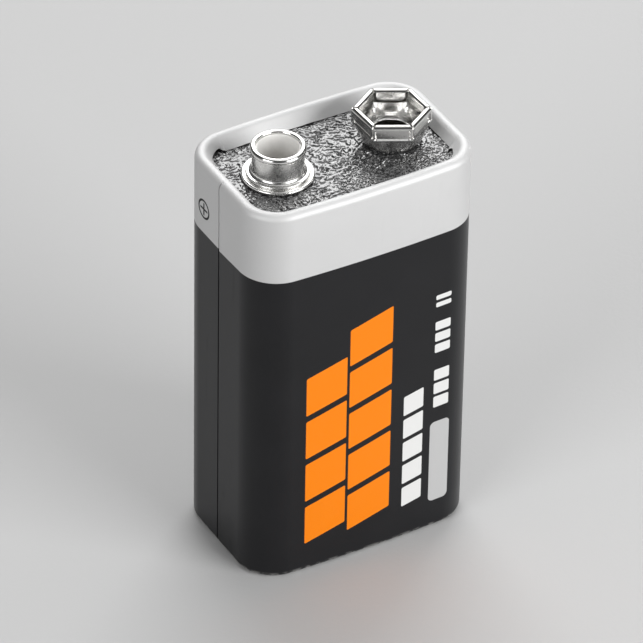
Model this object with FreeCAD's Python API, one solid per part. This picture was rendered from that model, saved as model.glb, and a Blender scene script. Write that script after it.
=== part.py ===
import FreeCAD, Part
import math
import os

# Nine volt layer-built battery, in millimetres, standing on its base.
# The origin is the centre of the base. X runs along the wide faces, Y across them, Z up.
# The positive stud is at -X and the negative socket at +X. The jacket's seam is in the -X side.

# Case
case_length = 25.5
case_depth = 16.75
wide_face_radius = 185.0
corner_radius = 4.15
rim_height = 45.0
sheet = 0.25
rim_radius = 0.7
rim_flat_count = 3
wide_lip_slope = 45.0
narrow_lip_slope = 62.0
corner_lip_slope = 50.0
corner_lip_fall = 0.38
foot_radius = 0.7
foot_reach = 2.0
seam_gap = 0.14
seam_place = 0.05
seam_lap = 2.4

# Terminal board and base board
rim_drop = 1.25
panel_raise = 0.55
lip_cover = 0.35
panel_corner = 3.6
panel_bevel = 0.1
board_flange = 0.8
headroom = 3.9
skirt_wall = 1.0
base_board_thickness = 1.0

# Positive stud
stud_inset = 6.55
stud_sheet = 0.27
stud_neck_radius = 2.63
stud_flange_radius = 3.65
stud_flange_rise = 0.4
stud_step_radius = 3.2
stud_step_rise = 0.7
stud_flare = 0.4
stud_height = 3.65
stud_rivet_wall = 0.25
stud_bead_radius = 2.8
stud_bead_height = 0.64
stud_bead_round = 0.22
stud_mouth_round = 0.26

# Negative socket
socket_inset = 6.15
socket_turn = 2.0
socket_sheet = 0.2
socket_apothem = 3.48
socket_height = 3.85
socket_fold = 0.68
socket_panel_lean = 0.15
socket_panel_rise = 2.2
socket_bowl_flare = 0.83
socket_bowl_rise = 0.95
socket_floor_land = 0.27
socket_panel_frame = 0.24
socket_panel_depth = 0.06
socket_slit = 0.14
socket_slit_eye = 0.13
socket_slit_rise = 2.5
socket_leaf_drop = 1.35
socket_leaf_tip = 0.62
socket_leaf_taper = 0.5
socket_leaf_bow = 0.02
socket_rivet_wall = 0.22
socket_rivet_rise = 1.1
socket_rivet_round = 0.18

# Rivet tails, contact strips and insulation
rivet_tail = 0.25
rivet_tail_spread = 0.55
strip_thickness = 0.2
strip_width = 4.0
strip_bend = 0.3
strip_foot = 8.5
tab_foot = 5.0
lug_rim = 1.15
lug_shank = 4.6
card_thickness = 0.3
liner_thickness = 0.2
wrap_thickness = 0.2
wrap_lip = 0.9

# Cells
cell_count = 6
end_plate_thickness = 0.25
zinc_thickness = 0.5
paper_thickness = 0.12
paper_rise = 2.6
film_thickness = 0.15
film_lip = 1.2

# Clearances
fit = 0.03
slot_play = 0.15

# Case outline and the places of the terminals
half_length = case_length / 2
half_depth = case_depth / 2
corner_x = half_length - corner_radius
stud_x = stud_inset - half_length
socket_x = half_length - socket_inset
crown_y = half_depth - wide_face_radius
crown_turn = math.asin(corner_x / (wide_face_radius - corner_radius))
corner_y = crown_y + (wide_face_radius - corner_radius) * math.cos(crown_turn)
crown_drop = half_depth - (corner_y + corner_radius * math.cos(crown_turn))

# Heights, from the base up
base_board_top = sheet + base_board_thickness
base_card_top = base_board_top + card_thickness
stack_base = base_card_top + strip_thickness
board_face = rim_height - rim_drop
flange_face = board_face - panel_raise
board_under = flange_face - board_flange
top_card_top = board_under - headroom
top_card_base = top_card_top - card_thickness
end_plate_top = top_card_base - strip_thickness
stack_top = end_plate_top - end_plate_thickness
cell_height = (stack_top - stack_base) / cell_count

# Room for the cell stack inside the jacket, its liner, the seam lap and the long strip
liner_inset = sheet + fit
stack_inset = sheet + max(sheet, liner_thickness + fit) + fit
strip_room = max(0, strip_bend - wrap_thickness) + strip_thickness + 2 * fit
stack_half_length = half_length - stack_inset
stack_half_depth = half_depth - crown_drop - liner_inset - liner_thickness - strip_room
liner_corner = corner_radius - liner_inset - liner_thickness
stack_cut = fit + max(
    stack_half_depth - corner_y - math.sqrt(liner_corner ** 2 - (stack_half_length - corner_x) ** 2),
    stack_half_length - corner_x - math.sqrt(liner_corner ** 2 - (stack_half_depth - corner_y) ** 2))

# Radii of the socket below its petals
socket_bowl_radius = socket_apothem - socket_panel_lean
socket_floor_radius = socket_bowl_radius - socket_bowl_flare
socket_rivet_radius = socket_floor_radius - socket_floor_land - fit

os.makedirs("parts", exist_ok=True)


def vector(x, y, z):
    return FreeCAD.Vector(x, y, z)


def save(shape, node):
    shape.exportStep("parts/" + node + ".step")


def line(first, last):
    return Part.LineSegment(first, last).toShape()


def arc(first, middle, last):
    return Part.Arc(first, middle, last).toShape()


def prism(outline, height):
    return Part.Face(outline).extrude(vector(0, 0, height))


def box(low, high):
    size = high - low
    return Part.makeBox(size.x, size.y, size.z, low)


def edges_at(shape, height):
    return [edge for edge in shape.Edges
            if abs(edge.BoundBox.ZMin - height) < fit and abs(edge.BoundBox.ZMax - height) < fit]


def turned(section, x):
    """Revolves a closed section of points (radius, height) round Z, and stands it at x."""
    outline = Part.makePolygon([vector(radius, 0, z) for radius, z in section + section[:1]])
    solid = Part.Face(outline).revolve(vector(0, 0, 0), vector(0, 0, 1), 360)
    solid.translate(vector(x, 0, 0))
    return solid


def eased(centre, radius, first, last, flats=2):
    """Small round of a section, from one angle to another, as a few flats."""
    angles = [math.radians(first + (last - first) * flat / flats) for flat in range(flats + 1)]
    return [(centre[0] + radius * math.cos(angle), centre[1] + radius * math.sin(angle))
            for angle in angles]


# Outline of the case: flat narrow sides, round corners and slightly crowned wide faces
def case_outline(inset, height):
    side = half_length - inset
    corner = corner_radius - inset
    crest = half_depth - inset
    diagonal = (math.pi / 2 - crown_turn) / 2
    start = (side, corner_y)
    middle = (corner_x + corner * math.cos(diagonal), corner_y + corner * math.sin(diagonal))
    end = (corner_x + corner * math.sin(crown_turn), corner_y + corner * math.cos(crown_turn))

    def at(point, x_sign, y_sign):
        return vector(x_sign * point[0], y_sign * point[1], height)

    return Part.Wire([
        line(at(start, 1, -1), at(start, 1, 1)),
        arc(at(start, 1, 1), at(middle, 1, 1), at(end, 1, 1)),
        arc(at(end, 1, 1), vector(0, crest, height), at(end, -1, 1)),
        arc(at(end, -1, 1), at(middle, -1, 1), at(start, -1, 1)),
        line(at(start, -1, 1), at(start, -1, -1)),
        arc(at(start, -1, -1), at(middle, -1, -1), at(end, -1, -1)),
        arc(at(end, -1, -1), vector(0, -crest, height), at(end, 1, -1)),
        arc(at(end, 1, -1), at(middle, 1, -1), at(start, 1, -1)),
    ])


# Rectangle with round corners
def rounded_outline(half_x, half_y, corner, height):
    edges = []
    for quarter in range(4):
        across, along = (half_x, half_y) if quarter % 2 == 0 else (half_y, half_x)
        centre = vector(across - corner, along - corner, height)
        diagonal = corner * math.sqrt(0.5)
        run = line(vector(across, corner - along, height), vector(across, along - corner, height))
        bend = arc(vector(across, along - corner, height),
                   centre + vector(diagonal, diagonal, 0),
                   vector(across - corner, along, height))
        for edge in (run, bend):
            edge.rotate(vector(0, 0, 0), vector(0, 0, 1), 90 * quarter)
            edges.append(edge)
    return Part.Wire(edges)


# Outline of the cell stack, its corners cut off to clear the round corners of the liner
def stack_outline(inset, height):
    x = stack_half_length - inset
    y = stack_half_depth - inset
    cut = stack_cut - inset * (2 - math.sqrt(2))
    corners = [(x, cut - y), (x, y - cut), (x - cut, y), (cut - x, y),
               (-x, y - cut), (-x, cut - y), (cut - x, -y), (x - cut, -y), (x, cut - y)]
    return Part.makePolygon([vector(across, along, height) for across, along in corners])


# Jacket of lacquered tinplate: one rolled sheet with its rim and foot turned in
def lip_fall(slope):
    """How far a rim lip runs down below its brow to end on the board's face."""
    brow = rim_height - rim_radius + (rim_radius - sheet) * math.cos(math.radians(slope))
    return brow - board_face


def lip_reach(slope):
    """How far in from the wall a rim lip ends that slopes down to the board's face."""
    turn = math.radians(slope)
    return rim_radius * (1 + math.sin(turn)) + lip_fall(slope) / math.tan(turn)


def jacket_section(radius, slope, fall):
    """Closed section of the sheet in the XZ plane, its outer wall at x = radius."""
    rim_centre = (radius - rim_radius, rim_height - rim_radius)
    foot_centre = (radius - foot_radius, foot_radius)
    brow = 90 + slope
    section = [(radius - foot_reach, sheet), (radius - foot_reach, 0)]
    section += eased(foot_centre, foot_radius, -90, 0)
    section += eased(rim_centre, rim_radius, 0, 90, rim_flat_count)
    section += eased(rim_centre, rim_radius, 90, brow)[1:]
    inside = eased(rim_centre, rim_radius - sheet, brow, 0)
    run = fall / math.tan(math.radians(slope))
    section += [(x - run, z - fall) for x, z in (section[-1], inside[0])]
    section += inside + eased(foot_centre, foot_radius - sheet, 0, -90)
    return Part.Face(Part.makePolygon([vector(x, 0, z) for x, z in section + section[:1]]))


def jacket():
    origin = vector(0, 0, 0)
    up = vector(0, 0, 1)
    corner_sweep = 90 - math.degrees(crown_turn)
    narrow = jacket_section(half_length, narrow_lip_slope, lip_fall(narrow_lip_slope))
    narrow.translate(vector(0, -corner_y, 0))
    narrow = narrow.extrude(vector(0, 2 * corner_y, 0))
    corner = jacket_section(corner_radius, corner_lip_slope, corner_lip_fall)
    corner = corner.revolve(origin, up, corner_sweep)
    corner.translate(vector(corner_x, corner_y, 0))
    wide = jacket_section(wide_face_radius, wide_lip_slope, lip_fall(wide_lip_slope))
    wide = wide.revolve(origin, up, 2 * math.degrees(crown_turn))
    wide.rotate(origin, up, corner_sweep)
    wide.translate(vector(0, crown_y, 0))
    half = [narrow, corner, wide, corner.mirror(origin, vector(1, 0, 0))]
    pieces = half + [piece.rotated(origin, up, 180) for piece in half]
    shell = pieces[0].fuse(pieces[1:]).removeSplitter()
    slit = box(vector(-half_length - sheet, seam_place - seam_gap / 2, -sheet),
               vector(rim_radius - half_length, seam_place + seam_gap / 2, rim_height + sheet))
    lap = box(vector(sheet - half_length, seam_place - seam_lap / 2, base_board_top + fit),
              vector(2 * sheet - half_length, seam_place + seam_lap / 2, board_under - fit))
    return shell.cut(slit).fuse(lap).removeSplitter()


# Terminal board: a moulded plate with a raised panel on top and a skirt that holds the stack down
def terminal_board():
    panel = prism(rounded_outline(half_length - lip_reach(narrow_lip_slope) + lip_cover,
                                  half_depth - lip_reach(wide_lip_slope) + lip_cover,
                                  panel_corner, board_under), panel_raise + board_flange)
    panel = panel.makeChamfer(panel_bevel, edges_at(panel, board_face))
    flange = prism(case_outline(sheet + fit, board_under), board_flange)
    skirt = prism(stack_outline(0, top_card_top), headroom + board_flange / 2)
    skirt = skirt.cut(prism(stack_outline(skirt_wall, top_card_top), headroom))
    board = flange.fuse([panel, skirt])
    passage = box(vector(socket_x - strip_width / 2 - slot_play, 0, top_card_top - fit),
                  vector(socket_x + strip_width / 2 + slot_play, half_depth, board_under))
    stud_hole = Part.makeCylinder(stud_neck_radius - stud_sheet, rim_height, vector(stud_x, 0, 0))
    socket_hole = Part.makeCylinder(socket_rivet_radius + fit, rim_height, vector(socket_x, 0, 0))
    return board.cut([passage, stud_hole, socket_hole]).removeSplitter()


def base_board():
    board = prism(case_outline(sheet + fit, sheet), base_board_thickness)
    return board.makeChamfer(foot_radius - sheet, edges_at(board, sheet))


# Positive stud: a drawn shell, held by a tubular rivet whose top is rolled over it as a bead
def stud_shell():
    inner = stud_neck_radius - stud_sheet
    top = board_face + stud_height - stud_bead_height
    step = board_face + stud_step_rise
    plate = board_face + stud_sheet
    rim = board_face + stud_flange_rise
    flare = (stud_neck_radius + stud_flare, step + stud_flare)
    step_inner = stud_step_radius - stud_sheet
    edge = stud_flange_radius - stud_sheet
    section = [(inner, top), (stud_neck_radius, top)]
    section += eased(flare, stud_flare, 180, 270)
    section += [(stud_step_radius, step), (stud_step_radius, plate), (edge, plate),
                (edge + rim - plate, rim), (stud_flange_radius, (rim + plate) / 2),
                (stud_flange_radius, board_face), (step_inner, board_face),
                (step_inner, step - stud_sheet)]
    section += eased(flare, stud_flare + stud_sheet, 225, 180)[::2]
    return turned(section, stud_x)


def stud_rivet():
    outer = stud_neck_radius - stud_sheet - fit
    bore = outer - stud_rivet_wall
    top = board_face + stud_height
    bead_base = top - stud_bead_height
    tail_top = board_under - strip_thickness
    tail_base = tail_top - rivet_tail
    spread = outer + rivet_tail_spread
    eased_by = min(stud_bead_round, stud_bead_height / 2)
    bead = stud_bead_radius - eased_by
    section = [(bore, tail_base), (spread, tail_base), (spread, tail_top), (outer, tail_top),
               (outer, bead_base)]
    section += eased((bead, bead_base + eased_by), eased_by, -90, 0)
    section += eased((bead, top - eased_by), eased_by, 0, 90)
    section += [(bore + stud_mouth_round, top), (bore, top - stud_mouth_round)]
    return turned(section, stud_x)


# Negative socket: a bowl that opens into six petals, each folded inwards over its top
def polar(radius, degrees, height):
    angle = math.radians(degrees)
    return vector(radius * math.cos(angle), radius * math.sin(angle), height)


def hexagon_outline(apothem, height):
    corner = apothem / math.cos(math.pi / 6)
    return Part.makePolygon([polar(corner, 60 * side - 30, height) for side in range(7)])


def round_outline(radius, height):
    """Circle in six arcs, each facing one side of the hexagon."""
    return Part.Wire([arc(polar(radius, 60 * side - 30, height), polar(radius, 60 * side, height),
                          polar(radius, 60 * side + 30, height)) for side in range(6)])


def socket_funnel(inset, low, high):
    """Solid that changes from the round bowl at the bottom to the hexagon at the top."""
    bottom = round_outline(socket_bowl_radius - inset, low)
    return Part.makeLoft([bottom, hexagon_outline(socket_apothem - inset, high)], True, True)


def bowl_side(inset):
    """Flank of the bowl in section, from its floor up to where it turns hexagonal."""
    shoulder = board_face + socket_bowl_rise
    lean = math.atan2(socket_panel_lean, socket_panel_rise - socket_bowl_rise)
    chord = socket_bowl_flare ** 2 + socket_bowl_rise ** 2
    sweep = chord / 2 / (socket_bowl_flare * math.cos(lean) - socket_bowl_rise * math.sin(lean))
    centre = (socket_bowl_radius - sweep * math.cos(lean), shoulder + sweep * math.sin(lean))
    lowest = math.asin((board_face + inset - centre[1]) / (sweep - inset))
    flank = eased(centre, sweep - inset, math.degrees(lowest), -math.degrees(lean))
    return flank[:2] + [(socket_bowl_radius - inset, shoulder)]


def socket_bowl():
    shoulder = board_face + socket_bowl_rise
    panel = board_face + socket_panel_rise
    hole = socket_rivet_radius + fit
    section = [(hole, board_face)] + bowl_side(0) + bowl_side(socket_sheet)[::-1]
    section.append((hole, board_face + socket_sheet))
    funnel = socket_funnel(0, shoulder, panel).cut(socket_funnel(socket_sheet, shoulder, panel))
    return turned(section, 0).fuse(funnel)


def socket_crown():
    """Hexagonal wall above the bowl, with the slits that part it into petals."""
    panel = board_face + socket_panel_rise
    fold = board_face + socket_height - socket_fold / 2
    wall = prism(hexagon_outline(socket_apothem, panel), fold - panel)
    wall = wall.cut(prism(hexagon_outline(socket_apothem - socket_sheet, panel), fold - panel))
    slit_base = board_face + socket_slit_rise
    cuts = []
    for side in range(6):
        slit = box(vector(0, -socket_slit / 2, slit_base),
                   vector(2 * socket_apothem, socket_slit / 2, fold + socket_fold))
        eye = box(vector(0, -socket_slit_eye, slit_base - socket_slit_eye),
                  vector(2 * socket_apothem, socket_slit_eye, slit_base + socket_slit_eye))
        for cutter in (slit, eye):
            cutter.rotate(vector(0, 0, 0), vector(0, 0, 1), 60 * side + 30)
            cuts.append(cutter)
        half = socket_apothem * math.tan(math.pi / 6) - socket_panel_frame
        recess = box(vector(socket_apothem - socket_panel_depth, -half, panel + socket_panel_depth),
                     vector(2 * socket_apothem, half, fold - socket_panel_depth))
        recess.rotate(vector(0, 0, 0), vector(0, 0, 1), 60 * side)
        cuts.append(recess)
    return wall.cut(cuts)


def socket_petal():
    """Fold and inner leaf of the petal that faces +X."""
    top = board_face + socket_height
    fold = top - socket_fold / 2
    tip = top - socket_leaf_drop
    outer = socket_apothem
    mouth = outer - socket_fold
    leaf_middle = (fold + tip) / 2
    back = mouth + socket_sheet
    reach = outer / math.cos(math.pi / 6)
    petal = Part.Face(Part.Wire([
        line(vector(back, 0, fold), vector(outer, 0, fold)),
        arc(vector(outer, 0, fold), vector((outer + mouth) / 2, 0, top), vector(mouth, 0, fold)),
        arc(vector(mouth, 0, fold), vector(mouth - socket_leaf_bow, 0, leaf_middle),
            vector(mouth - socket_leaf_bow, 0, tip)),
        line(vector(mouth - socket_leaf_bow, 0, tip), vector(back - socket_leaf_bow, 0, tip)),
        arc(vector(back - socket_leaf_bow, 0, tip), vector(back - socket_leaf_bow, 0, leaf_middle),
            vector(back, 0, fold)),
    ])).extrude(vector(0, 2 * reach, 0))
    petal.translate(vector(0, -reach, 0))
    mitre = vector(socket_slit / 2 / math.sin(math.pi / 6), 0, 0)
    wedge = Part.Face(Part.makePolygon([
        mitre + polar(0, 0, tip), mitre + polar(2 * reach, 30, tip),
        mitre + polar(2 * reach, -30, tip), mitre + polar(0, 0, tip),
    ])).extrude(vector(0, 0, top - tip))
    half_mouth = mouth * math.tan(math.pi / 6)
    half_tip = half_mouth * socket_leaf_tip
    taper = tip + socket_leaf_taper
    front = [(half_tip, tip), (half_mouth, taper), (reach, taper), (reach, top)]
    front += [(-y, z) for y, z in front[::-1]]
    leaf_shape = Part.Face(Part.makePolygon([vector(0, y, z) for y, z in front + front[:1]]))
    return petal.common(wedge).common(leaf_shape.extrude(vector(2 * outer, 0, 0)))


def socket():
    petal = socket_petal()
    petals = [petal.rotated(vector(0, 0, 0), vector(0, 0, 1), 60 * side) for side in range(6)]
    shape = socket_bowl().fuse([socket_crown()] + petals).removeSplitter()
    shape.rotate(vector(0, 0, 0), vector(0, 0, 1), socket_turn)
    shape.translate(vector(socket_x, 0, 0))
    return shape


def socket_rivet():
    bore = socket_rivet_radius - socket_rivet_wall
    floor = board_face + socket_sheet
    head = bowl_side(socket_sheet)[0][0] - fit
    top = board_face + socket_rivet_rise
    eased_by = min(socket_rivet_round, (head - bore) / 2)
    tail_top = board_under - strip_thickness
    tail_base = tail_top - rivet_tail
    spread = socket_rivet_radius + rivet_tail_spread
    section = [(bore, tail_base), (spread, tail_base), (spread, tail_top),
               (socket_rivet_radius, tail_top), (socket_rivet_radius, floor), (head, floor)]
    section += [(head, top - eased_by), (head - eased_by, top), (bore + eased_by, top),
                (bore, top - eased_by)]
    return turned(section, socket_x)


# Contact strips of tinned steel, with a ring lug round each rivet
def bent_strip(path, width):
    """Strip along straight runs in the XZ plane that meet at right angles, its bends rounded."""
    half = strip_thickness / 2
    radius = strip_bend + half
    headings = [(last - first).normalize() for first, last in zip(path, path[1:])]

    def flank(side):
        edges = []
        here = path[0] + headings[0].cross(vector(0, 1, 0)) * half * side
        for corner, arriving, leaving in zip(path[1:], headings, headings[1:]):
            left = arriving.cross(vector(0, 1, 0)).dot(leaving)
            sweep = radius - side * left * half
            centre = corner - arriving * radius + leaving * radius
            start = centre - leaving * sweep
            end = centre + arriving * sweep
            middle = centre + (arriving - leaving).normalize() * sweep
            edges += [line(here, start), arc(start, middle, end)]
            here = end
        last = path[-1] + headings[-1].cross(vector(0, 1, 0)) * half * side
        return edges + [line(here, last)], last

    left_edges, left_end = flank(1)
    right_edges, right_end = flank(-1)
    first_cap = line(left_edges[0].firstVertex().Point, right_edges[0].firstVertex().Point)
    edges = left_edges + [line(left_end, right_end)] + right_edges[::-1] + [first_cap]
    outline = Part.Wire(Part.sortEdges(edges)[0])
    strip = Part.Face(outline).extrude(vector(0, width, 0))
    strip.translate(vector(0, -width / 2, 0))
    return strip


def with_lug(strip, x, y, rivet_radius):
    base = board_under - strip_thickness
    lug = Part.makeCylinder(rivet_radius + lug_rim, strip_thickness, vector(x, y, base))
    hole = Part.makeCylinder(rivet_radius + fit, 3 * strip_thickness,
                             vector(x, y, base - strip_thickness))
    return strip.fuse(lug).cut(hole).removeSplitter()


def positive_tab():
    half = strip_thickness / 2
    leaf = board_under - half
    foot = end_plate_top + half
    riser = stud_x + lug_shank
    path = [vector(stud_x, 0, leaf), vector(riser, 0, leaf), vector(riser, 0, foot),
            vector(riser + tab_foot, 0, foot)]
    return with_lug(bent_strip(path, strip_width), stud_x, 0, stud_neck_radius - stud_sheet - fit)


def negative_strip():
    half = strip_thickness / 2
    riser = stack_half_depth + max(0, strip_bend - wrap_thickness) + fit + half
    leaf = board_under - half
    foot = base_card_top + half
    path = [vector(0, 0, leaf), vector(riser, 0, leaf), vector(riser, 0, foot),
            vector(riser - strip_foot, 0, foot)]
    strip = bent_strip(path, strip_width)
    strip.rotate(vector(0, 0, 0), vector(0, 0, 1), 90)
    strip.translate(vector(socket_x, 0, 0))
    return with_lug(strip, socket_x, 0, socket_rivet_radius)


# Insulation: waxed cards, the liner inside the jacket and the sleeve round the stack
def top_card():
    card = prism(stack_outline(0, top_card_base), card_thickness)
    riser = stud_x + lug_shank
    reach = strip_thickness / 2 + strip_bend + slot_play
    slot = box(vector(riser - reach, -strip_width / 2 - slot_play, top_card_base - fit),
               vector(riser + reach, strip_width / 2 + slot_play, top_card_top + fit))
    return card.cut(slot)


def base_card():
    return prism(stack_outline(0, base_board_top), card_thickness)


def liner():
    height = board_under - base_board_top
    tube = prism(case_outline(liner_inset, base_board_top), height)
    tube = tube.cut(prism(case_outline(liner_inset + liner_thickness, base_board_top), height))
    gap = seam_lap / 2 + slot_play
    return tube.cut(box(vector(-half_length, seam_place - gap, 0),
                        vector(-corner_x, seam_place + gap, rim_height)))


def stack_wrap():
    height = top_card_base - base_card_top
    body = prism(stack_outline(0, base_card_top), height)
    inside = prism(stack_outline(wrap_thickness, stack_base), height - 2 * strip_thickness)
    window = prism(stack_outline(wrap_thickness + wrap_lip, base_card_top), height)
    foot_way = box(vector(socket_x - strip_width / 2 - fit, 0, base_card_top),
                   vector(socket_x + strip_width / 2 + fit, half_depth,
                          stack_base + strip_bend + fit))
    return body.cut([inside, window, foot_way])


# Cells, from the bottom of the stack up: zinc plate, paper tray, mix cake, plastic envelope
def end_plate():
    return prism(stack_outline(wrap_thickness + fit, stack_top), end_plate_thickness)


def zinc_plate(base):
    inset = wrap_thickness + film_thickness + 2 * fit
    return prism(stack_outline(inset, base), zinc_thickness)


def separator(base):
    inset = wrap_thickness + film_thickness + 2 * fit
    floor = base + zinc_thickness
    tray = prism(stack_outline(inset, floor), paper_rise)
    return tray.cut(prism(stack_outline(inset + paper_thickness, floor + paper_thickness),
                          paper_rise))


def mix_cake(base):
    inset = wrap_thickness + film_thickness + paper_thickness + 3 * fit
    floor = base + zinc_thickness + paper_thickness
    ceiling = base + cell_height - film_thickness
    cake = prism(stack_outline(inset, floor), ceiling - floor)
    window = wrap_thickness + film_thickness + film_lip + 2 * fit
    return cake.fuse(prism(stack_outline(window, floor), base + cell_height - floor)).removeSplitter()


def envelope(base):
    outer = wrap_thickness + fit
    ring = prism(stack_outline(outer, base), cell_height)
    inside = prism(stack_outline(outer + film_thickness, base), cell_height - film_thickness)
    window = prism(stack_outline(outer + film_thickness + film_lip, base), cell_height)
    return ring.cut([inside, window])


save(jacket(), "jacket")
save(terminal_board(), "terminal_board")
save(stud_shell(), "positive_stud")
save(stud_rivet(), "positive_rivet")
save(socket(), "negative_socket")
save(socket_rivet(), "negative_rivet")
save(positive_tab(), "positive_tab")
save(negative_strip(), "negative_strip")
save(top_card(), "top_card")
save(base_card(), "base_card")
save(base_board(), "base_board")
save(liner(), "liner")
save(stack_wrap(), "stack_wrap")
save(end_plate(), "positive_end_plate")
for number in range(cell_count):
    cell_base = stack_base + number * cell_height
    cell = "cell_" + str(number + 1) + "_"
    save(zinc_plate(cell_base), cell + "zinc_plate")
    save(separator(cell_base), cell + "separator")
    save(mix_cake(cell_base), cell + "mix_cake")
    save(envelope(cell_base), cell + "envelope")
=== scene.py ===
import math

import bmesh
import bpy
from mathutils import Matrix, Vector, noise


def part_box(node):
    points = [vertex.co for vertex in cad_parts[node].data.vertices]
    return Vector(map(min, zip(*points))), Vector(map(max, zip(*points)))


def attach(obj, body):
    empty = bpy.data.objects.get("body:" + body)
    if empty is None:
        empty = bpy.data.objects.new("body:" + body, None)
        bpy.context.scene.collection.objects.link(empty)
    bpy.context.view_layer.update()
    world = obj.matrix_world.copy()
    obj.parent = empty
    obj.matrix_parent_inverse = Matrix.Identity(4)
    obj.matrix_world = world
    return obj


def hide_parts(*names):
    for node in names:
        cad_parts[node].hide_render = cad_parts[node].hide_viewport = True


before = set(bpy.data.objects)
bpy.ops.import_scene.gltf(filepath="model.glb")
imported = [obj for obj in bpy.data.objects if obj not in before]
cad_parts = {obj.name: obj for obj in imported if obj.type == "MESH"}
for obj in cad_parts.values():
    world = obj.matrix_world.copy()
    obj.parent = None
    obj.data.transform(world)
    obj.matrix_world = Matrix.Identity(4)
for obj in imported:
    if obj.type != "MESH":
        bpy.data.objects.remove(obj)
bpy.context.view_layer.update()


# The jacket is one sheet of tinplate, silver lacquered and printed black below its top band. It is
# bent round the cells to a lap seam on one narrow side. Its foot is turned in under the base board,
# and its rim is rolled over in four lips that hold the terminal board down.
mm = 0.001
half_length, half_depth, rim_height = (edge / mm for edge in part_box("jacket")[1])
wide_face_radius = 185
corner_radius = 4.15
sheet = 0.25
foot_radius = 0.7
foot_reach = 2.0
rim_radius = 0.7
narrow_slope, wide_slope, corner_slope = (math.radians(angle) for angle in (62, 45, 50))
board_low, board_high = (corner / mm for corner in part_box("terminal_board"))
board_face = board_high.z
lip_overrun = 0.33
lip_break = 0.8
corner_lip = 0.70
lip_waver, lip_waver_pace = 0.04, 0.7
rim_waver, rim_waver_pace = 0.03, 0.23
rim_waver_drop, rim_waver_fade = 2, 1.5
cut_round, cut_back, cut_share = 0.3, 0.7, 0.28
seam_place = 0.05
seam_gap = 0.14
seam_groove, seam_groove_edge = 0.8, 0.03
seam_edge_runs, lap_edge = (-0.04, 0, 0.01, 0.02, 0.03, 0.06), 0.01
seam_lap = 2.4
seam_lap_base = 1.3
seam_lap_top = 42.3
foot_steps, wall_steps, rim_steps, lip_steps = 8, 12, 20, 6
narrow_steps, corner_steps, wide_steps = 20, 26, 40
least_step = 0.004

corner_x = half_length - corner_radius
crown_turn = math.asin(corner_x / (wide_face_radius - corner_radius))
crown_y = half_depth - wide_face_radius
corner_y = crown_y + (wide_face_radius - corner_radius) * math.cos(crown_turn)
corner_sweep = math.pi / 2 - crown_turn
narrow_run = 2 * corner_y
corner_run = corner_radius * corner_sweep
wide_run = 2 * crown_turn * wide_face_radius
half_run = narrow_run + 2 * corner_run + wide_run


def place(run):
    """Point of the outer wall at a run anticlockwise from the +X side's start, and its facing."""
    half, rest = divmod(run, half_run)
    if rest < narrow_run:
        spot, facing = (half_length, rest - narrow_run / 2), 0
    elif rest < narrow_run + corner_run:
        facing = (rest - narrow_run) / corner_radius
        spot = (corner_x + corner_radius * math.cos(facing),
                corner_y + corner_radius * math.sin(facing))
    elif rest < narrow_run + corner_run + wide_run:
        facing = corner_sweep + (rest - narrow_run - corner_run) / wide_face_radius
        spot = (wide_face_radius * math.cos(facing), crown_y + wide_face_radius * math.sin(facing))
    else:
        facing = math.pi - (half_run - rest) / corner_radius
        spot = (corner_radius * math.cos(facing) - corner_x,
                corner_y + corner_radius * math.sin(facing))
    turn = -1 if half % 2 else 1
    return Vector((spot[0] * turn, spot[1] * turn, 0)), facing + (math.pi if turn < 0 else 0)


def run_at(x, y):
    """The run whose place on the outer wall lies nearest to a point."""
    tries = 4000
    runs = [half_run * 2 * step / tries for step in range(tries)]
    return min(runs, key=lambda run: (place(run)[0] - Vector((x, y, 0))).length)


def eased(value):
    """Smooth step from 0 to 1."""
    value = min(max(value, 0), 1)
    return value * value * (3 - 2 * value)


def into_corner(run):
    """How far a run has gone into a corner from its nearer end. It is negative on a side."""
    rest = run % half_run
    if rest > half_run / 2:
        return min(rest - (half_run - corner_run), half_run - rest)
    return min(rest - narrow_run, narrow_run + corner_run - rest)


def slope_at(run):
    """Slope of the lip, which changes just inside the corners' ends."""
    rest = run % half_run
    on_wide = narrow_run + corner_run / 2 < rest < half_run - corner_run / 2
    side = wide_slope if on_wide else narrow_slope
    return side + (corner_slope - side) * eased(into_corner(run) / lip_overrun)


def skin(inset, slope, lip, waver):
    """Section of the sheet from foot to lip, as steps in from the wall and heights."""
    foot = foot_radius - inset
    rim = rim_radius - inset
    section = [(foot_reach, inset), ((foot_reach + foot_radius) / 2, inset)]
    for step in range(foot_steps + 1):
        turn = math.pi / 2 * step / foot_steps
        section.append((foot_radius - foot * math.sin(turn), foot_radius - foot * math.cos(turn)))
    straight = rim_height - rim_radius - foot_radius
    section += [(inset, foot_radius + straight * step / wall_steps)
                for step in range(1, wall_steps)]
    brow = math.pi / 2 + slope
    for step in range(rim_steps + 1):
        turn = brow * step / rim_steps
        section.append((rim_radius - rim * math.cos(turn),
                        rim_height - rim_radius + rim * math.sin(turn)))
    across, height = section[-1]
    reach = (height - board_face) / math.sin(slope) * lip + waver
    for step in range(1, lip_steps + 1):
        go = reach * step / lip_steps
        section.append((across + go * math.cos(slope), height - go * math.sin(slope)))
    return [Vector(spot) for spot in section]


rim_start = foot_steps + wall_steps + 2
groove_end, groove_fade = rim_start + 5, 5
crease_start, crease_fade = rim_start + 9, 5
creases = [(run_at(near_x, near_y), depth, width) for near_x, near_y, depth, width in (
    (half_length, -2.2, 0.13, 0.13), (half_length, -4.4, 0.24, 0.15),
    (half_length, -5.1, -0.12, 0.12), (-9.1, half_depth, 0.14, 0.28),
    (9.2, half_depth, 0.08, 0.25), (-half_length, 3.3, 0.05, 0.25),
    (-2.5, half_depth, 0.03, 0.5))]
burr_run, burr_height, burr_width = run_at(12.1, -6.4), 0.09, 0.10
burr_step, burr_tilt = rim_start + 6, 0.6


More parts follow.
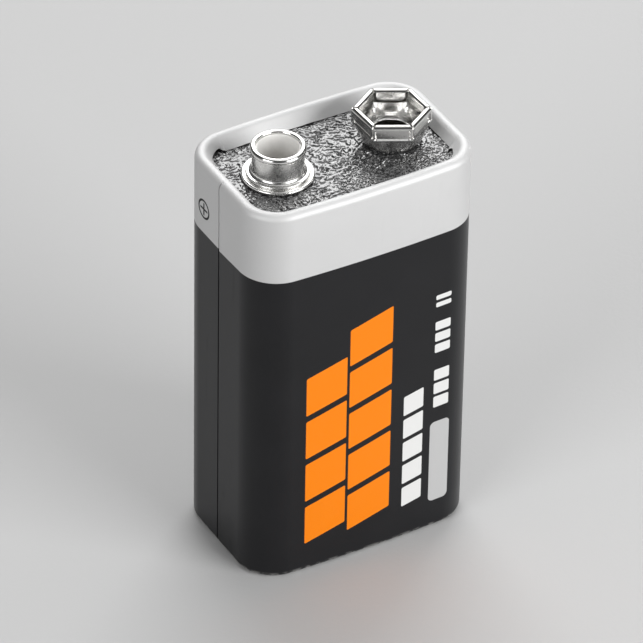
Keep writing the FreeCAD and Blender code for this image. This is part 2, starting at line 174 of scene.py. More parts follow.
def crease_at(run):
    """Depth of the small folds where the lip was pressed down."""
    return sum(depth * (run - at) / width * math.exp(-((run - at) / width) ** 2)
               for at, depth, width in creases)


def jacket_ring(run):
    """Closed section of the sheet at a run: up the outside, over the lip and down the inside."""
    slope = slope_at(run)
    lip = 1 - (1 - corner_lip) * eased((into_corner(run) - lip_overrun) / lip_break)
    waver = lip_waver * noise.noise(Vector((run * lip_waver_pace, 0, 0)))
    outer = skin(0, slope, lip, waver)
    inner = skin(sheet, slope, lip, waver)
    grooved = skin(sheet * seam_groove, slope, lip, waver)
    doubled = skin(2 * sheet, slope, lip, waver)
    seam = run_at_seam - run
    groove = 1 - eased((abs(seam) - seam_gap / 2) / seam_groove_edge)
    lap = 1 if abs(seam) < seam_lap / 2 else 0
    for step, spot in enumerate(outer):
        over_rim = eased(1 - (step - groove_end) / groove_fade)
        pressed = crease_at(run) * eased((step - crease_start) / crease_fade)
        spot += (grooved[step] - spot) * (groove * over_rim + pressed)
        if seam_lap_base < inner[step].y < seam_lap_top and step < rim_start:
            inner[step] += (doubled[step] - inner[step]) * lap
    burr = burr_height * math.exp(-((run - burr_run) / burr_width) ** 2)
    outer[burr_step].y += burr * burr_tilt
    outer[burr_step].x -= burr
    soften = sheet * cut_round
    ends = []
    for first, last, before in ((outer[-1], inner[-1], outer[-2]), (inner[0], outer[0], inner[1])):
        back = (before - first).normalized() * soften * cut_back
        ends.append([first + (last - first) * share for share in (cut_share, 1 - cut_share)])
        first += back
        last += back
    section = outer + ends[0] + inner[::-1] + ends[1]
    wall, facing = place(run)
    sag = rim_waver * (0.5 + noise.noise(Vector((run * rim_waver_pace, 5, 0))))
    points = []
    for across, height in section:
        drop = sag * eased((height - rim_height + rim_waver_drop) / rim_waver_fade)
        inward = Vector((math.cos(facing), math.sin(facing), 0)) * across
        points.append(wall - inward + Vector((0, 0, height - drop)))
    return points


same_spot = 1e-8


def make_piece(name, points, faces, smooth=35):
    """A mesh object from points in millimetres, its faces turned outwards and shaded smooth."""
    mesh = bpy.data.meshes.new(name)
    mesh.from_pydata([Vector(point) * mm for point in points], [], faces)
    shape = bmesh.new()
    shape.from_mesh(mesh)
    bmesh.ops.remove_doubles(shape, verts=shape.verts, dist=same_spot)
    bmesh.ops.recalc_face_normals(shape, faces=shape.faces)
    shape.to_mesh(mesh)
    shape.free()
    mesh.shade_smooth()
    mesh.set_sharp_from_angle(angle=math.radians(smooth))
    piece = bpy.data.objects.new(name, mesh)
    bpy.context.collection.objects.link(piece)
    return piece


def between_rings(rings, closed=True):
    """Faces that join rings of points, each ring to the next."""
    count = len(rings[0])
    faces = []
    for ring in range(len(rings) if closed else len(rings) - 1):
        for step in range(count):
            here, there = ring * count, (ring + 1) % len(rings) * count
            after = (step + 1) % count
            faces.append((here + step, here + after, there + after, there + step))
    return faces


run_at_seam = half_run + narrow_run / 2 - seam_place
runs = []
for half in (0, half_run):
    for start, length, steps in ((0, narrow_run, narrow_steps),
                                 (narrow_run, corner_run, corner_steps),
                                 (narrow_run + corner_run, wide_run, wide_steps),
                                 (half_run - corner_run, corner_run, corner_steps)):
        runs += [half + start + length * step / steps for step in range(steps)]
    for lip_end in (narrow_run + lip_overrun, narrow_run + corner_run - lip_overrun,
                    half_run - corner_run + lip_overrun, half_run - lip_overrun):
        runs += [half + lip_end + lip_break * (step / 4 - 0.25) for step in range(7)]
for at, _, width in creases + [(burr_run, burr_height, burr_width)]:
    runs += [at + width * step / 3 for step in range(-7, 8)]
for side in (-1, 1):
    runs += [run_at_seam + side * (seam_gap / 2 + edge) for edge in seam_edge_runs]
    runs += [run_at_seam + side * (seam_lap / 2 + edge) for edge in (-lap_edge, lap_edge)]
runs = sorted(run % (2 * half_run) for run in runs)
runs = [run for run, after in zip(runs, runs[1:] + [math.inf]) if after - run > least_step]
jacket_rings = [jacket_ring(run) for run in runs]
jacket = make_piece("rolled_jacket", [point for ring in jacket_rings for point in ring],
                    between_rings(jacket_rings), smooth=40)


class Signal:
    """Output of a shader node. Arithmetic on it adds Math nodes."""

    def __init__(self, tree, socket):
        self.tree = tree
        self.socket = socket

    def math(self, operation, *values, clamp=False):
        """Adds a Math node that takes this signal first."""
        node = self.tree.nodes.new("ShaderNodeMath")
        node.operation = operation
        node.use_clamp = clamp
        for entry, value in zip(node.inputs, (self, *values)):
            wire(self.tree, entry, value)
        return Signal(self.tree, node.outputs[0])

    def __add__(self, other):
        return self.math("ADD", other)

    def __sub__(self, other):
        return self.math("SUBTRACT", other)

    def __mul__(self, other):
        return self.math("MULTIPLY", other)

    def __truediv__(self, other):
        return self.math("DIVIDE", other)

    def __rsub__(self, other):
        return self.math("MULTIPLY_ADD", -1, other)

    def __abs__(self):
        return self.math("ABSOLUTE")

    __radd__ = __add__
    __rmul__ = __mul__

    def above(self, edge, blur):
        """1 past an edge and 0 before it, with a soft step between."""
        return (self - edge).math("MULTIPLY_ADD", 1 / blur, 0.5, clamp=True)

    def between(self, low, high, blur):
        """1 between two edges and 0 outside them."""
        return self.above(low, blur) * (1 - self.above(high, blur))


def wire(tree, entry, value):
    """Gives a socket a link or a value."""
    if isinstance(value, Signal):
        tree.links.new(value.socket, entry)
    elif entry.type == "RGBA":
        entry.default_value = (*value[:3], 1)
    else:
        entry.default_value = value


class Finish:
    """Material of one kind of surface, in the object's own coordinates."""

    def __init__(self, name, **constants):
        self.material = bpy.data.materials.new(name)
        self.material.use_nodes = True
        self.tree = self.material.node_tree
        self.shader = self.tree.nodes["Principled BSDF"]
        self.spot = self.node("TexCoord", output="Object")
        self.coat(**constants)

    def node(self, kind, settings=None, inputs=None, output=0):
        """Adds a node of any kind, with its settings and inputs, and gives one output."""
        node = self.tree.nodes.new("ShaderNode" + kind)
        for name, value in (settings or {}).items():
            setattr(node, name, value)
        for name, value in (inputs or {}).items():
            wire(self.tree, node.inputs[name], value)
        return Signal(self.tree, node.outputs[output])

    def coat(self, **sockets):
        """Gives the shader's sockets a link or a value, as Base_Color=..."""
        for name, value in sockets.items():
            wire(self.tree, self.shader.inputs[name.replace("_", " ")], value)

    def axes(self):
        """The three coordinates in millimetres."""
        scaled = self.node("VectorMath", {"operation": "SCALE"}, {0: self.spot, "Scale": 1 / mm})
        return [self.node("SeparateXYZ", inputs={0: scaled}, output=axis) for axis in range(3)]

    def grain(self, size, detail=3, stretch=(1, 1, 1), **inputs):
        """Noise from 0 to 1 whose patches are about a size in millimetres."""
        spot = self.node("VectorMath", {"operation": "MULTIPLY"}, {0: self.spot, 1: stretch})
        return self.node("TexNoise", inputs={"Vector": spot, "Scale": 1 / (size * mm),
                                             "Detail": detail, **inputs})

    def blend(self, factor, first, second):
        """Mix of two colours."""
        return self.node("Mix", {"data_type": "RGBA"}, {0: factor, 6: first, 7: second}, output=2)

    def relief(self, height, depth, under=None):
        """Bump normal from heights of 0 to 1 over a depth in millimetres."""
        inputs = {"Height": height, "Distance": depth * mm, "Strength": 1}
        if under:
            inputs["Normal"] = under
        return self.node("Bump", inputs=inputs)


lacquer_silver = (0.66, 0.66, 0.66)
print_black = (0.010, 0.010, 0.011)
print_orange = (0.93, 0.235, 0.006)
print_white = (0.78, 0.78, 0.77)
print_pale = (0.52, 0.52, 0.52)
bare_tin = (0.55, 0.54, 0.52)
band_base = 37.03
seam_print_step = 0.2
print_edge = 0.05
block_round = 0.16
sign_side, sign_height, sign_radius, sign_stroke, sign_arm = 3.1, 39.9, 1.12, 0.24, 0.72
tinplate = Finish("lacquered_tinplate", Specular_IOR_Level=0.2)
x, y, z = tinplate.axes()


def slanted_blocks(start, count, pitch, gap, low, high, slant):
    """Row of like slanted blocks up the printed face, each a pitch above the last."""
    turn = (z - (x - low) * slant - start) / pitch
    along = abs(turn - turn.math("FLOOR") - 0.5) * pitch
    over_along = (along - (pitch - gap) / 2 + block_round).math("MAXIMUM", 0)
    over_across = (abs(x - (low + high) / 2) - (high - low) / 2 + block_round).math("MAXIMUM", 0)
    away = (over_along * over_along + over_across * over_across).math("SQRT")
    return (1 - away.above(block_round, print_edge)) * turn.between(0, count, print_edge / pitch)


def round_ended(low_x, high_x, low_z, high_z, corner):
    """Rectangle with round corners on the printed face."""
    over_x = (abs(x - (low_x + high_x) / 2) - ((high_x - low_x) / 2 - corner)).math("MAXIMUM", 0)
    over_z = (abs(z - (low_z + high_z) / 2) - ((high_z - low_z) / 2 - corner)).math("MAXIMUM", 0)
    away = (over_x * over_x + over_z * over_z).math("SQRT")
    return 1 - away.above(corner, print_edge)


def sign(middle_y, middle_z, radius, stroke, arm, crossed):
    """Thin ring round a plus or a minus, on a narrow side."""
    along, up = abs(y - middle_y), abs(z - middle_z)
    away = (along * along + up * up).math("SQRT")
    ring = away.between(radius - stroke, radius, print_edge)
    bar = (1 - along.above(arm, print_edge)) * (1 - up.above(stroke / 2, print_edge))
    post = (1 - up.above(arm, print_edge)) * (1 - along.above(stroke / 2, print_edge))
    return ring.math("MAXIMUM", bar.math("MAXIMUM", post) if crossed else bar)


front = 1 - y.above(corner_y - half_depth, print_edge)
left, right = 1 - x.above(-corner_x, print_edge), x.above(corner_x, print_edge)
beside_seam = left * (1 - y.above(seam_place, print_edge)) * (y / corner_y + 1).math("MAXIMUM", 0)
band = (z + beside_seam * seam_print_step).above(band_base, print_edge)
outer_column, inner_column = (
    slanted_blocks(3.2, count, pitch, gap=0.75, low=low, high=high, slant=0.28)
    for count, pitch, low, high in ((4, 5.4, -7.3, -2.75), (5, 5.2, -2.45, 2.4)))
orange = outer_column.math("MAXIMUM", inner_column) * front
white = slanted_blocks(start=3.9, count=5, pitch=2.9, gap=0.5, low=3.9, high=6.2, slant=0.2)
for start, count, pitch in ((15.3, 3, 1.7), (22.2, 3, 1.4), (27.9, 2, 0.9)):
    small = slanted_blocks(start, count, pitch, gap=0.35, low=7.4, high=9.2, slant=0)
    white = white.math("MAXIMUM", small)
white = white * front
pale = round_ended(low_x=7.1, high_x=9.4, low_z=3.5, high_z=13.6, corner=0.55) * front
plus, minus = (sign(middle, sign_height, sign_radius, sign_stroke, sign_arm, crossed)
               for middle, crossed in ((sign_side, True), (-sign_side, False)))
signs = (plus * left).math("MAXIMUM", minus * right)

mottle = tinplate.grain(6, 4)
speck = tinplate.grain(0.12, 2)
scuffs = tinplate.grain(1.1, 6, (1, 1, 0.12)).above(0.67, 0.05)
foot_wear = (1 - z.above(0.45, 0.5)) * tinplate.grain(0.8, 5).above(0.52, 0.1)
silver = tinplate.blend(mottle, [0.95 * part for part in lacquer_silver], lacquer_silver)
ink = tinplate.blend(mottle, print_black, [1.5 * part for part in print_black])
ink = tinplate.blend(orange, ink, print_orange)
ink = tinplate.blend(white, ink, print_white)
ink = tinplate.blend(pale, ink, print_pale)
colour = tinplate.blend(band * (1 - signs), ink, silver)
colour = tinplate.blend(foot_wear * 0.6, colour, bare_tin)
tinplate.coat(
    Base_Color=colour,
    Metallic=(band * (1 - signs) * 0.40 + foot_wear * 0.4).math("MINIMUM", 1),
    Roughness=band * 0.28 + mottle * 0.06 + speck * 0.04 + scuffs * 0.05 + 0.26,
    Normal=tinplate.relief(speck + tinplate.grain(0.5, 2) * 0.7, 0.004),
)
jacket.data.materials.append(tinplate.material)
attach(jacket, "root")
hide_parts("jacket")


# The terminal board is a plate of black moulded plastic with a crinkled face, holed for the two
# rivets. Its raised panel fills the rim, the lips press on the panel's edge, and a skirt below
# holds the cells down.
panel_raise, flange_thickness, skirt_wall = 0.55, 0.8, 1.0
board_flange_top = board_face - panel_raise
board_under = board_flange_top - flange_thickness
fit = 0.03
lip_cover = 0.35
panel_corner = 3.6
panel_bevel = 0.1
flange_play, skirt_play = 0.2, 0.28
skirt_half_depth, skirt_corner = 7.3, 3.2
crinkle_depth = 0.16
crinkle_pitch = 0.08
crinkle_size = 0.58
crinkle_folds = 1.6
crinkle_drift = 0.72
crinkle_warp, crinkle_warp_pace, crinkle_seed = 0.28, 1.7, 9
swell_mean, swell_span, swell_pace, swell_shift = 0.78, 0.45, 1.1, Vector((9, 4, 2))
ripple_span, ripple_pace, least_depth = 0.20, 3.1, 0.08
calm_edge, calm_fade = 0.1, 0.35
row_gather = 0.15
pebble_size = 0.46
pebble_depth = 0.045
pebble_wander, wander_size = 0.25, 0.5
stud_low, stud_high = (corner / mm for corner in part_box("positive_stud"))
socket_low, socket_high = (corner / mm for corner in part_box("negative_socket"))
stud_x = (stud_low.x + stud_high.x) / 2
socket_x = (socket_low.x + socket_high.x) / 2
stud_hole = 2.36
socket_hole = 2.23


def lip_reach(slope):
    """How far in from the wall a lip of this slope ends."""
    return skin(sheet, slope, 1, 0)[-1].x


def crinkle(across, along):
    """Depth, 0 to 1, of the winding hollows of the moulded face."""
    spot = Vector((across * crinkle_drift, along, 0)) / crinkle_size
    warped = spot + noise.noise_vector(spot * crinkle_warp_pace) * crinkle_warp
    winding = 0.5 + 0.5 * math.cos(math.tau * crinkle_folds * noise.noise(warped))
    swell = swell_mean + swell_span * noise.noise(spot * swell_pace + swell_shift)
    ripple = ripple_span * noise.noise(spot * ripple_pace)
    return min(1, max(0, winding * swell + ripple + least_depth))


def grid_faces(rows, wide, base=0):
    """Faces of a grid of points, from its count of rows and of points in a row."""
    return [(base + row * wide + column, base + row * wide + column + 1,
             base + (row + 1) * wide + column + 1, base + (row + 1) * wide + column)
            for row in range(rows - 1) for column in range(wide - 1)]


def nested(point, reach_x, reach_y, corner):
    """Where a ray from the board's middle third through a point meets a rounded rectangle."""
    core = Vector((min(max(point.x, corner - reach_x), reach_x - corner),
                   min(max(point.y, corner - reach_y), reach_y - corner), 0))
    flat = Vector((point.x, point.y, 0))
    return core + (flat - core).normalized() * corner


panel_x = half_length - lip_reach(narrow_slope) + lip_cover
panel_y = half_depth - lip_reach(wide_slope) + lip_cover
columns = round(2 * panel_x / crinkle_pitch)
rows = round(2 * panel_y / crinkle_pitch)
noise.seed_set(crinkle_seed)
points = []
for row in range(rows + 1):
    along = (-panel_y * math.cos(math.pi * row / rows) * row_gather
             + (1 - row_gather) * panel_y * (2 * row / rows - 1))
    past = max(0, abs(along) - (panel_y - panel_corner))
    reach = panel_x - panel_corner + math.sqrt(max(0, panel_corner ** 2 - past ** 2))
    for column in range(columns + 1):
        across = reach * (2 * column / columns - 1)
        edge = min(row, rows - row, column, columns - column)
        rough = eased((edge * crinkle_pitch - calm_edge) / calm_fade)
        depth = panel_bevel if edge == 0 else crinkle_depth * crinkle(across, along) * rough
        points.append(Vector((across, along, board_face - depth)))
wide = columns + 1
faces = grid_faces(rows + 1, wide)
border = list(range(columns)) + [row * wide + columns for row in range(rows)]
border += [rows * wide + column for column in range(columns, 0, -1)]
border += [row * wide for row in range(rows, 0, -1)]
flange_reach = (half_length - sheet - fit, half_depth - sheet - fit - flange_play,
                corner_radius - sheet)
skirt_reach = (board_high.x - skirt_play, skirt_half_depth, skirt_corner)
skirt_inner = tuple(reach - skirt_wall for reach in skirt_reach)
ring = border
for reach, height in ((None, board_flange_top), (flange_reach, board_flange_top),
                      (flange_reach, board_under), (skirt_reach, board_under),
                      (skirt_reach, board_low.z), (skirt_inner, board_low.z),
                      (skirt_inner, board_under)):
    fresh = []
    for index in border:
        spot = nested(points[index], *reach) if reach else points[index].copy()
        spot.z = height
        points.append(spot)
        fresh.append(len(points) - 1)
    for step in range(len(ring)):
        after = (step + 1) % len(ring)
        faces.append((ring[step], ring[after], fresh[after], fresh[step]))
    ring = fresh
faces.append(tuple(ring))
board = make_piece("crinkled_board", points, faces, smooth=50)


def cut_with(piece, cutters):
    """Takes closed shapes out of a piece."""
    for cutter in cutters:
        change = piece.modifiers.new("cut", "BOOLEAN")
        change.object = cutter
        change.solver = "EXACT"
    solid = piece.evaluated_get(bpy.context.evaluated_depsgraph_get())
    mesh = bpy.data.meshes.new_from_object(solid)
    piece.modifiers.clear()
    piece.data = mesh
    for cutter in cutters:
        bpy.data.objects.remove(cutter)


def prism(name, outline, low, high):
    """Closed upright shape on an outline of points."""
    count = len(outline)
    points = [Vector((*spot, height)) for height in (low, high) for spot in outline]
    faces = between_rings([points[:count], points[count:]], closed=False)
    faces += [tuple(range(count)), tuple(range(count, 2 * count))]
    return make_piece(name, points, faces)


cutters = []
hole_sides = 64
below_board = board_low.z - 1
for name, middle, radius in (("stud_cutter", stud_x, stud_hole),
                             ("socket_cutter", socket_x, socket_hole)):
    circle = [(middle + radius * math.cos(turn), radius * math.sin(turn))
              for turn in (math.tau * step / hole_sides for step in range(hole_sides))]
    cutters.append(prism(name, circle, below_board, rim_height))
strip_slot = 2.15
slot_outline = [(socket_x - strip_slot, 0), (socket_x + strip_slot, 0),
                (socket_x + strip_slot, half_depth), (socket_x - strip_slot, half_depth)]
cutters.append(prism("strip_cutter", slot_outline, below_board, board_under))
cut_with(board, cutters)

board_black = (0.036, 0.036, 0.037)
board_dust = (0.10, 0.10, 0.10)
plastic = Finish("crinkled_board", IOR=1.8, Coat_Weight=1.0, Coat_Roughness=0.08)
fine = plastic.grain(0.16, 3)
drift = plastic.node("TexNoise", output=1,
                     inputs={"Vector": plastic.spot, "Scale": 1 / (wander_size * mm)})
wander = plastic.node("VectorMath", {"operation": "MULTIPLY_ADD"},
                      {0: drift, 1: [pebble_wander * mm] * 3, 2: plastic.spot})
pebbles = plastic.node("TexVoronoi", {"feature": "SMOOTH_F1"},
                       {"Vector": wander, "Scale": 1 / (pebble_size * mm), "Smoothness": 0.35})
dust = plastic.grain(0.5, 5).above(0.66, 0.06)
plastic.coat(
    Base_Color=plastic.blend(dust * 0.35, board_black, board_dust),
    Roughness=fine * 0.08 + dust * 0.15 + 0.10,
    Normal=plastic.relief(1 - pebbles, pebble_depth, plastic.relief(fine, 0.006)),
)
board.data.materials.append(plastic.material)
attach(board, "root")
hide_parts("terminal_board")


# The positive stud is a drawn steel shell with a stepped flange, bright nickel plated. A tubular
# rivet holds it to the board, and the rivet's top is rolled out over the shell as the snap bead.
stud_sheet = 0.27
stud_neck = 2.63
stud_flange = (stud_high.x - stud_low.x) / 2
stud_flange_rise = 0.4
stud_step = 3.2
stud_step_rise = 0.7
stud_flare = 0.4
step_round, root_round, edge_cut, foot_cut = 0.13, 0.1, 0.03, 0.05
rivet_low, rivet_high = (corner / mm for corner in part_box("positive_rivet"))
bead_radius = 2.8
bead_height = 0.64
bead_round = 0.24
rivet_gap = 0.03
rivet_wall = 0.25
rivet_tail = 0.25
rivet_spread = 0.55
tail_cut, tail_edge = 0.04, 0.05
crest_round, crest_inset = 0.3, 0.06
mouth_step, mouth_round, mouth_drop, mouth_depth = 0.15, 0.18, 0.19, 0.36
mouth_ring, mouth_ring_drop, bore_start = 0.06, 0.32, 0.9


def bend(centre, radius, first, last, steps=6):
    """Round of a section from one angle to another, in degrees."""
    turns = [math.radians(first + (last - first) * step / steps) for step in range(steps + 1)]
    return [(centre[0] + radius * math.cos(turn), centre[1] + radius * math.sin(turn))
            for turn in turns]


def turned(name, section, middle, segments=128, smooth=35):
    """Closed section of radii and heights, revolved round an upright axis."""
    rings = [[Vector((middle + radius * math.cos(turn), radius * math.sin(turn), height))
              for radius, height in section]
             for turn in (math.tau * step / segments for step in range(segments))]
    points = [point for ring in rings for point in ring]
    return make_piece(name, points, between_rings(rings), smooth)


step_top = board_face + stud_step_rise
plate_top = board_face + stud_sheet
flange_top = board_face + stud_flange_rise
inner = stud_neck - stud_sheet
shell_top = rivet_high.z - bead_height
flare = (stud_neck + stud_flare, step_top + stud_flare)
step_inner = stud_step - stud_sheet
rolled = (flange_top - board_face) / 2
section = [(inner, shell_top - edge_cut), (inner + edge_cut, shell_top),
           (stud_neck - edge_cut, shell_top), (stud_neck, shell_top - edge_cut)]
section += bend(flare, stud_flare, 180, 262, 8)
section += bend((stud_step - step_round, step_top - step_round), step_round, 90, 0, 5)
section += bend((stud_step + root_round, plate_top + root_round), root_round, 180, 270, 4)
section += bend((stud_flange - rolled, board_face + rolled), rolled, 115, -90, 12)
section += [(step_inner + foot_cut, board_face), (step_inner, board_face + foot_cut)]
section += bend((step_inner - root_round, step_top - stud_sheet - root_round), root_round, 0, 90, 4)
section += bend(flare, stud_flare + stud_sheet, 250, 180, 7)
stud = turned("stud_shell", section, stud_x)

outer = inner - rivet_gap
bore = outer - rivet_wall
tail_low = rivet_low.z
bead = bead_radius - bead_round
tail_reach = outer + rivet_spread
section = [(bore, tail_low + tail_cut), (bore + tail_cut, tail_low),
           (tail_reach - tail_edge, tail_low), (tail_reach, tail_low + tail_edge),
           (tail_reach, tail_low + rivet_tail - tail_cut),
           (tail_reach - tail_cut, tail_low + rivet_tail),
           (outer, tail_low + rivet_tail), (outer, shell_top)]
section += bend((bead, shell_top + bead_round), bead_round, -90, 0, 6)
section += bend((bead - crest_inset, rivet_high.z - crest_round), crest_round, 0, 90, 8)
section += bend((bore + mouth_step + mouth_round, rivet_high.z - mouth_drop),
                mouth_round, 95, 180, 6)
section += [(bore + mouth_step, rivet_high.z - mouth_depth),
            (bore + 2 * mouth_ring, rivet_high.z - mouth_depth)]
section += bend((bore + mouth_ring, rivet_high.z - mouth_ring_drop), mouth_ring, 0, 180, 6)
section += [(bore, rivet_high.z - bore_start), (bore, board_face)]
stud_rivet = turned("stud_rivet", section, stud_x)

nickel_bright = (0.76, 0.755, 0.74)
nickel_dull = (0.55, 0.54, 0.52)
# Painted light: the bore's base colour is paler than the plating, to lift the shaded inside of the
# tube.
bore_painted_light = (0.90, 0.89, 0.87)
nickel = Finish("nickel_plate", Metallic=1.0)
cloud = nickel.grain(0.9, 4)
pits = nickel.grain(0.10, 3)
drawn = nickel.grain(0.5, 4, (1, 1, 0.15))
tarnish = cloud.above(0.62, 0.25)
nickel.coat(
    Base_Color=nickel.blend(tarnish * 0.3, nickel_bright, nickel_dull),
    Roughness=pits * 0.05 + tarnish * 0.08 + drawn * 0.05 + 0.19,
    Normal=nickel.relief(cloud * 0.8 + drawn * 0.2 + pits * 0.1, 0.003),
)
stud.data.materials.append(nickel.material)
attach(stud, "root")
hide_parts("positive_stud")

satin = Finish("satin_nickel")
x, y = satin.axes()[:2]
blotch = satin.grain(0.7, 4)
away = (x - stud_x) * (x - stud_x) + y * y
bore_share = 1 - away.above((bore + 2 * mouth_ring) ** 2, 0.5)
# The plating colour with the paler, painted light inside the bore.
plating_and_painted_bore_light = satin.blend(bore_share, nickel_bright, bore_painted_light)
satin.coat(
    Base_Color=satin.blend(blotch * bore_share * 0.5, plating_and_painted_bore_light, nickel_dull),
    Metallic=1 - bore_share * 0.85,
    Roughness=bore_share * (blotch * 0.2 + 0.25) + 0.16,
    Normal=satin.relief(blotch + satin.grain(0.2, 3) * 0.4, 0.006),
)
stud_rivet.data.materials.append(satin.material)
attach(stud_rivet, "root")
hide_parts("positive_rivet")


# The negative socket is drawn from thin spring steel and nickel plated. Its round bowl turns into
# six flat petals, parted by slits, and each petal folds over inwards to a leaf that grips the stud
# of a connector. A short tubular rivet in its floor holds it to the board.
socket_turn = math.radians(2)
socket_sheet = 0.2
socket_apothem = 3.48
socket_height = socket_high.z - board_face
socket_fold = 0.68
socket_floor = 2.42
bowl_rim = 3.28
bowl_rise = 1.05
bowl_flare = 1.4
bowl_swell = 0.09
panel_rise = 2.2
panel_frame = 0.20
panel_ledge = 0.13
panel_sink = 0.17
panel_foot, panel_foot_ledge, panel_head = 0.03, 0.11, 0.05
first_share = 0.985
slit = 0.14
slit_eye = 0.14
slit_rise = 2.5
leaf_drop = 1.35
leaf_tip = 0.62
leaf_taper = 0.55
leaf_bow = 0.12
petal_ease = 0.10
petal_columns = 22
bowl_steps, fold_steps, leaf_steps, ease_steps = 8, 12, 8, 8
eye_turn = 22
row_above_eye, row_above_middle = 0.35, 0.1
petal_edge = 0.03


def petal_rows():
    """Rows of one petal from floor to leaf: reach, height, roundness, half width and sink."""
    full = math.tan(math.pi / 6)
    rows = [(socket_hole, 0, 1, None, 0), ((socket_hole + socket_floor) / 2, 0, 1, None, 0)]
    for step in range(bowl_steps + 1):
        share = step / bowl_steps
        swollen = share + bowl_swell * math.sin(math.pi * share)
        reach = socket_floor + (bowl_rim - socket_floor) * swollen
        rows.append((reach, bowl_rise * share ** bowl_flare, 1, None, 0))
    for step in range(1, bowl_steps + 1):
        share = step / bowl_steps
        rise = bowl_rise + (panel_rise - bowl_rise) * share
        rows.append((bowl_rim + (socket_apothem - bowl_rim) * share, rise, 1 - share, None, 0))
    fold = socket_height - socket_fold / 2
    half = socket_apothem * full
    heights = [(panel_rise + panel_foot, 0), (panel_rise + (panel_foot + panel_foot_ledge), 1)]
    heights += [(slit_rise + slit_eye * math.sin(math.radians(turn)), 1)
                for turn in range(-90, 91, eye_turn)]
    heights += [(slit_rise + row_above_eye, 1), ((slit_rise + fold) / 2 + row_above_middle, 1),
                (fold - panel_head - panel_ledge, 1), (fold - panel_head, 0), (fold, 0)]
    for rise, sink in heights:
        off = math.sqrt(max(0, slit_eye ** 2 - (rise - slit_rise) ** 2))
        if rise > slit_rise:
            off = max(off, slit / 2)
        rows.append((socket_apothem, rise, 0, half - off / math.cos(math.pi / 6), sink))
    gap = slit / 2 / math.cos(math.pi / 6)
    middle = socket_apothem - socket_fold / 2
    for step in range(1, fold_steps + 1):
        turn = math.pi * step / fold_steps
        reach = middle + socket_fold / 2 * math.cos(turn)
        half = reach * full - gap - petal_ease * eased(step / ease_steps)
        rows.append((reach, fold + socket_fold / 2 * math.sin(turn), 0, half, 0))
    mouth = socket_apothem - socket_fold
    tip = socket_height - leaf_drop
    for step in range(1, leaf_steps + 1):
        share = step / leaf_steps
        rise = fold + (tip - fold) * share
        narrow = max(0, 1 - (rise - tip) / leaf_taper)
        half = (mouth * full - gap - petal_ease) * (1 - (1 - leaf_tip) * narrow)
        rows.append((mouth - leaf_bow * math.sin(share * math.pi / 2), rise, 0, half, 0))
    return rows


def petal_shares():
    """Places across a petal, -1 to 1, close together at the edges of its sunk panel."""
    half = socket_apothem * math.tan(math.pi / 6)
    edge = 1 - panel_frame / half
    inside = edge - panel_ledge / half
    shares = [-1, -first_share, -(1 + edge) / 2, -edge, -inside]
    shares += [inside * (2 * step / petal_columns - 1) for step in range(1, petal_columns)]
    return shares + [-share for share in shares[4::-1]]


points, faces = [], []
rows, shares = petal_rows(), petal_shares()
sunk_shares = range(4, len(shares) - 4)
for side in range(6):
    turn = socket_turn + math.pi / 3 * side
    base = len(points)
    for reach, rise, roundness, half, sink in rows:
        for column, share in enumerate(shares):
            half_width = reach * math.tan(math.pi / 6) if half is None else half
            flat = Vector((reach, share * half_width))
            lean = share * math.pi / 6
            round_spot = Vector((reach * math.cos(lean), reach * math.sin(lean)))
            spot = flat.lerp(round_spot, roundness)
            if sink and column in sunk_shares:
                spot.x -= panel_sink
            points.append(Vector((socket_x + spot.x * math.cos(turn) - spot.y * math.sin(turn),
                                  spot.x * math.sin(turn) + spot.y * math.cos(turn),
                                  board_face + rise)))
    faces += grid_faces(len(rows), len(shares), base)
socket = make_piece("petal_socket", points, faces, smooth=50)
skin_change = socket.modifiers.new("sheet", "SOLIDIFY")
skin_change.thickness = socket_sheet * mm
skin_change.offset = -1
skin_change.use_even_offset = True
edge_change = socket.modifiers.new("edges", "BEVEL")
edge_change.width = petal_edge * mm
edge_change.segments = 2
edge_change.limit_method = "ANGLE"
edge_change.angle_limit = math.radians(55)
sprung = Finish("sprung_nickel", Metallic=1.0)
drawing = sprung.grain(0.6, 3)
spots = sprung.grain(0.25, 4).above(0.64, 0.12)
sprung.coat(
    Base_Color=sprung.blend(spots * 0.4, nickel_bright, nickel_dull),
    Roughness=drawing * 0.08 + spots * 0.08 + 0.15,
    Normal=sprung.relief(drawing, 0.004),
)
socket.data.materials.append(sprung.material)
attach(socket, "root")
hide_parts("negative_socket")

socket_rivet_low, socket_rivet_high = (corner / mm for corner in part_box("negative_rivet"))
tail = (socket_rivet_high.x - socket_rivet_low.x) / 2
tail_low, tail_top = socket_rivet_low.z, socket_rivet_low.z + rivet_tail
shank, shank_wall, head_gap, crown = 2.2, 0.22, 0.05, 0.18
socket_bore = shank - shank_wall
head = socket_floor - head_gap
section = [(socket_bore, tail_low), (tail - tail_edge, tail_low), (tail, tail_low + tail_edge),
           (tail, tail_top - tail_cut), (tail - tail_cut, tail_top), (shank, tail_top),
           (shank, board_face + socket_sheet), (head, board_face + socket_sheet)]
section += bend((head - crown, socket_rivet_high.z - crown), crown, 0, 90, 6)
section += bend((socket_bore + crown, socket_rivet_high.z - crown), crown, 90, 180, 6)
socket_rivet = turned("socket_rivet", section, socket_x, 96)
socket_rivet.data.materials.append(sprung.material)
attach(socket_rivet, "root")
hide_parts("negative_rivet")


# Two strips of tinned steel carry the current from the two ends of the stack to the rivets, and an
# end plate of the same tinned sheet lies on the top cell. They are cut, bent and pressed in place.
tin_bright = (0.62, 0.62, 0.61)
tin_dull = (0.42, 0.42, 0.42)


def dress(node, finish):
    """Gives a frame's node its finish."""
    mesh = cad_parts[node].data
    mesh.materials.clear()
    mesh.materials.append(finish.material)


